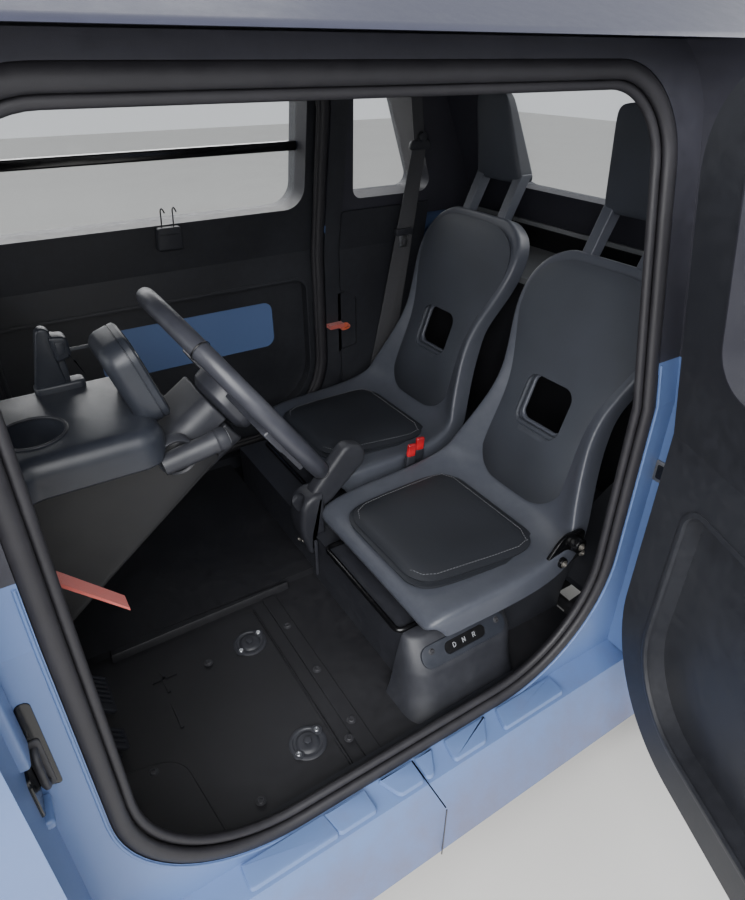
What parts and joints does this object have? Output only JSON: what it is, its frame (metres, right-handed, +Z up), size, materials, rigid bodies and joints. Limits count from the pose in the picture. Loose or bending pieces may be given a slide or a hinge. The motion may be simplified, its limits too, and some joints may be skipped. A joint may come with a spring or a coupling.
{
  "type": "two-seat electric microcar",
  "caption": "Two-seat electric microcar with an open side door, a framed cabin with moulded seats, steered front wheels and a glazed upper frame over a pale lower body.",
  "frame": {"origin": "on the ground, on the centreline, midway between the axles", "axes": "+X forward, +Y to the driver side (left), +Z up"},
  "size_m": [2.41, 2.4205, 1.514],
  "materials": {
    "body_paint": "satin pale blue-grey, moulded through",
    "roof_plastic": "dark blue-grey, smooth satin",
    "outer_plastic": "near-black, fine texture",
    "clear_glass": "clear",
    "lamp_lens": "clear lens",
    "seal_rubber": "matt black",
    "cabin_plastic": "near-black, moulded grain",
    "seat_plastic": "dark grey, fine grain",
    "seat_cover": "near-black cover with grey stitching",
    "wheel_grip": "satin black",
    "belt_webbing": "woven black",
    "strap_webbing": "orange-red woven",
    "chassis_steel": "black coated steel",
    "tyre": "rubber",
    "rim_steel": "dark satin"
  },
  "bodies": {
    "chassis": {"battery_block": "chassis_steel", "belts": "belt_webbing", "buckles": "strap_webbing", "bumpers": "outer_plastic", "cabin_linings": "cabin_plastic", "chassis_frame": "chassis_steel", "dash_clamp": "cabin_plastic", "dashboard": "cabin_plastic", "door_hinges": "chassis_steel", "door_seals": "seal_rubber", "drive_selector": "cabin_plastic", "floor_tub": "cabin_plastic", "front_body": "body_paint", "front_fenders": "body_paint", "front_lamps": "lamp_lens", "front_suspension": "chassis_steel", "greenhouse": "outer_plastic", "handbrake": "cabin_plastic", "headrests": "seat_cover", "instrument_pod": "cabin_plastic", "mirrors": "outer_plastic", "motor_block": "chassis_steel", "pedals": "cabin_plastic", "pull_straps": "strap_webbing", "quarter_windows": "clear_glass", "rear_axle": "chassis_steel", "rear_body": "body_paint", "rear_fenders": "body_paint", "rear_lamps": "lamp_lens", "rear_shelf": "cabin_plastic", "rear_window": "clear_glass", "roof": "roof_plastic", "seat_pads": "seat_cover", "seat_plinth": "cabin_plastic", "seat_rails": "chassis_steel", "seat_shells": "seat_plastic", "side_frames_front": "body_paint", "side_frames_rear": "body_paint", "steering_column": "cabin_plastic", "windscreen": "clear_glass", "wiper": "outer_plastic"},
    "door_left": {"door_left_shell": "body_paint", "door_left_trim": "cabin_plastic", "door_left_glass": "clear_glass"},
    "door_right": {"door_right_shell": "body_paint", "door_right_trim": "cabin_plastic", "door_right_glass": "clear_glass"},
    "knuckle_left_body": {"knuckle_left": "chassis_steel"},
    "knuckle_right_body": {"knuckle_right": "chassis_steel"},
    "steering_wheel_body": {"steering_wheel": "wheel_grip"},
    "wheel_fl": {"tyre_fl": "tyre", "rim_fl": "rim_steel"},
    "wheel_fr": {"tyre_fr": "tyre", "rim_fr": "rim_steel"},
    "wheel_rl": {"tyre_rl": "tyre", "rim_rl": "rim_steel"},
    "wheel_rr": {"tyre_rr": "tyre", "rim_rr": "rim_steel"}
  },
  "joints": [
    {"name": "left_door_hinge", "type": "hinge", "parent": "chassis", "child": "door_left", "pos_m": [-0.513, 0.69, 0.68], "axis": [0, 0, 1], "range_deg": [-67, 0]},
    {"name": "right_door_hinge", "type": "hinge", "parent": "chassis", "child": "door_right", "pos_m": [0.513, -0.69, 0.68], "axis": [0, 0, 1], "range_deg": [0, 67]},
    {"name": "left_steer", "type": "hinge", "parent": "chassis", "child": "knuckle_left_body", "pos_m": [0.864, 0.54, 0.2], "axis": [0, -0.2079, 0.9781], "range_deg": [-28, 28]},
    {"name": "right_steer", "type": "hinge", "parent": "chassis", "child": "knuckle_right_body", "pos_m": [0.864, -0.54, 0.2], "axis": [0, 0.2079, 0.9781], "range_deg": [-28, 28]},
    {"name": "steering_wheel_turn", "type": "hinge", "parent": "chassis", "child": "steering_wheel_body", "pos_m": [0.125, 0.255, 0.985], "axis": [-0.829, 0, 0.5592], "range_deg": [-420, 420]},
    {"name": "wheel_spin_fl", "type": "hinge", "parent": "knuckle_left_body", "child": "wheel_fl", "pos_m": [0.864, 0.6, 0.2785], "axis": [0, 1, 0], "continuous": true},
    {"name": "wheel_spin_fr", "type": "hinge", "parent": "knuckle_right_body", "child": "wheel_fr", "pos_m": [0.864, -0.6, 0.2785], "axis": [0, 1, 0], "continuous": true},
    {"name": "wheel_spin_rl", "type": "hinge", "parent": "chassis", "child": "wheel_rl", "pos_m": [-0.864, 0.6, 0.2785], "axis": [0, 1, 0], "continuous": true},
    {"name": "wheel_spin_rr", "type": "hinge", "parent": "chassis", "child": "wheel_rr", "pos_m": [-0.864, -0.6, 0.2785], "axis": [0, 1, 0], "continuous": true}
  ],
  "couplings": [
    {"joint": "right_steer", "follows": "left_steer", "ratio": 1},
    {"joint": "steering_wheel_turn", "follows": "left_steer", "ratio": 15}
  ]
}
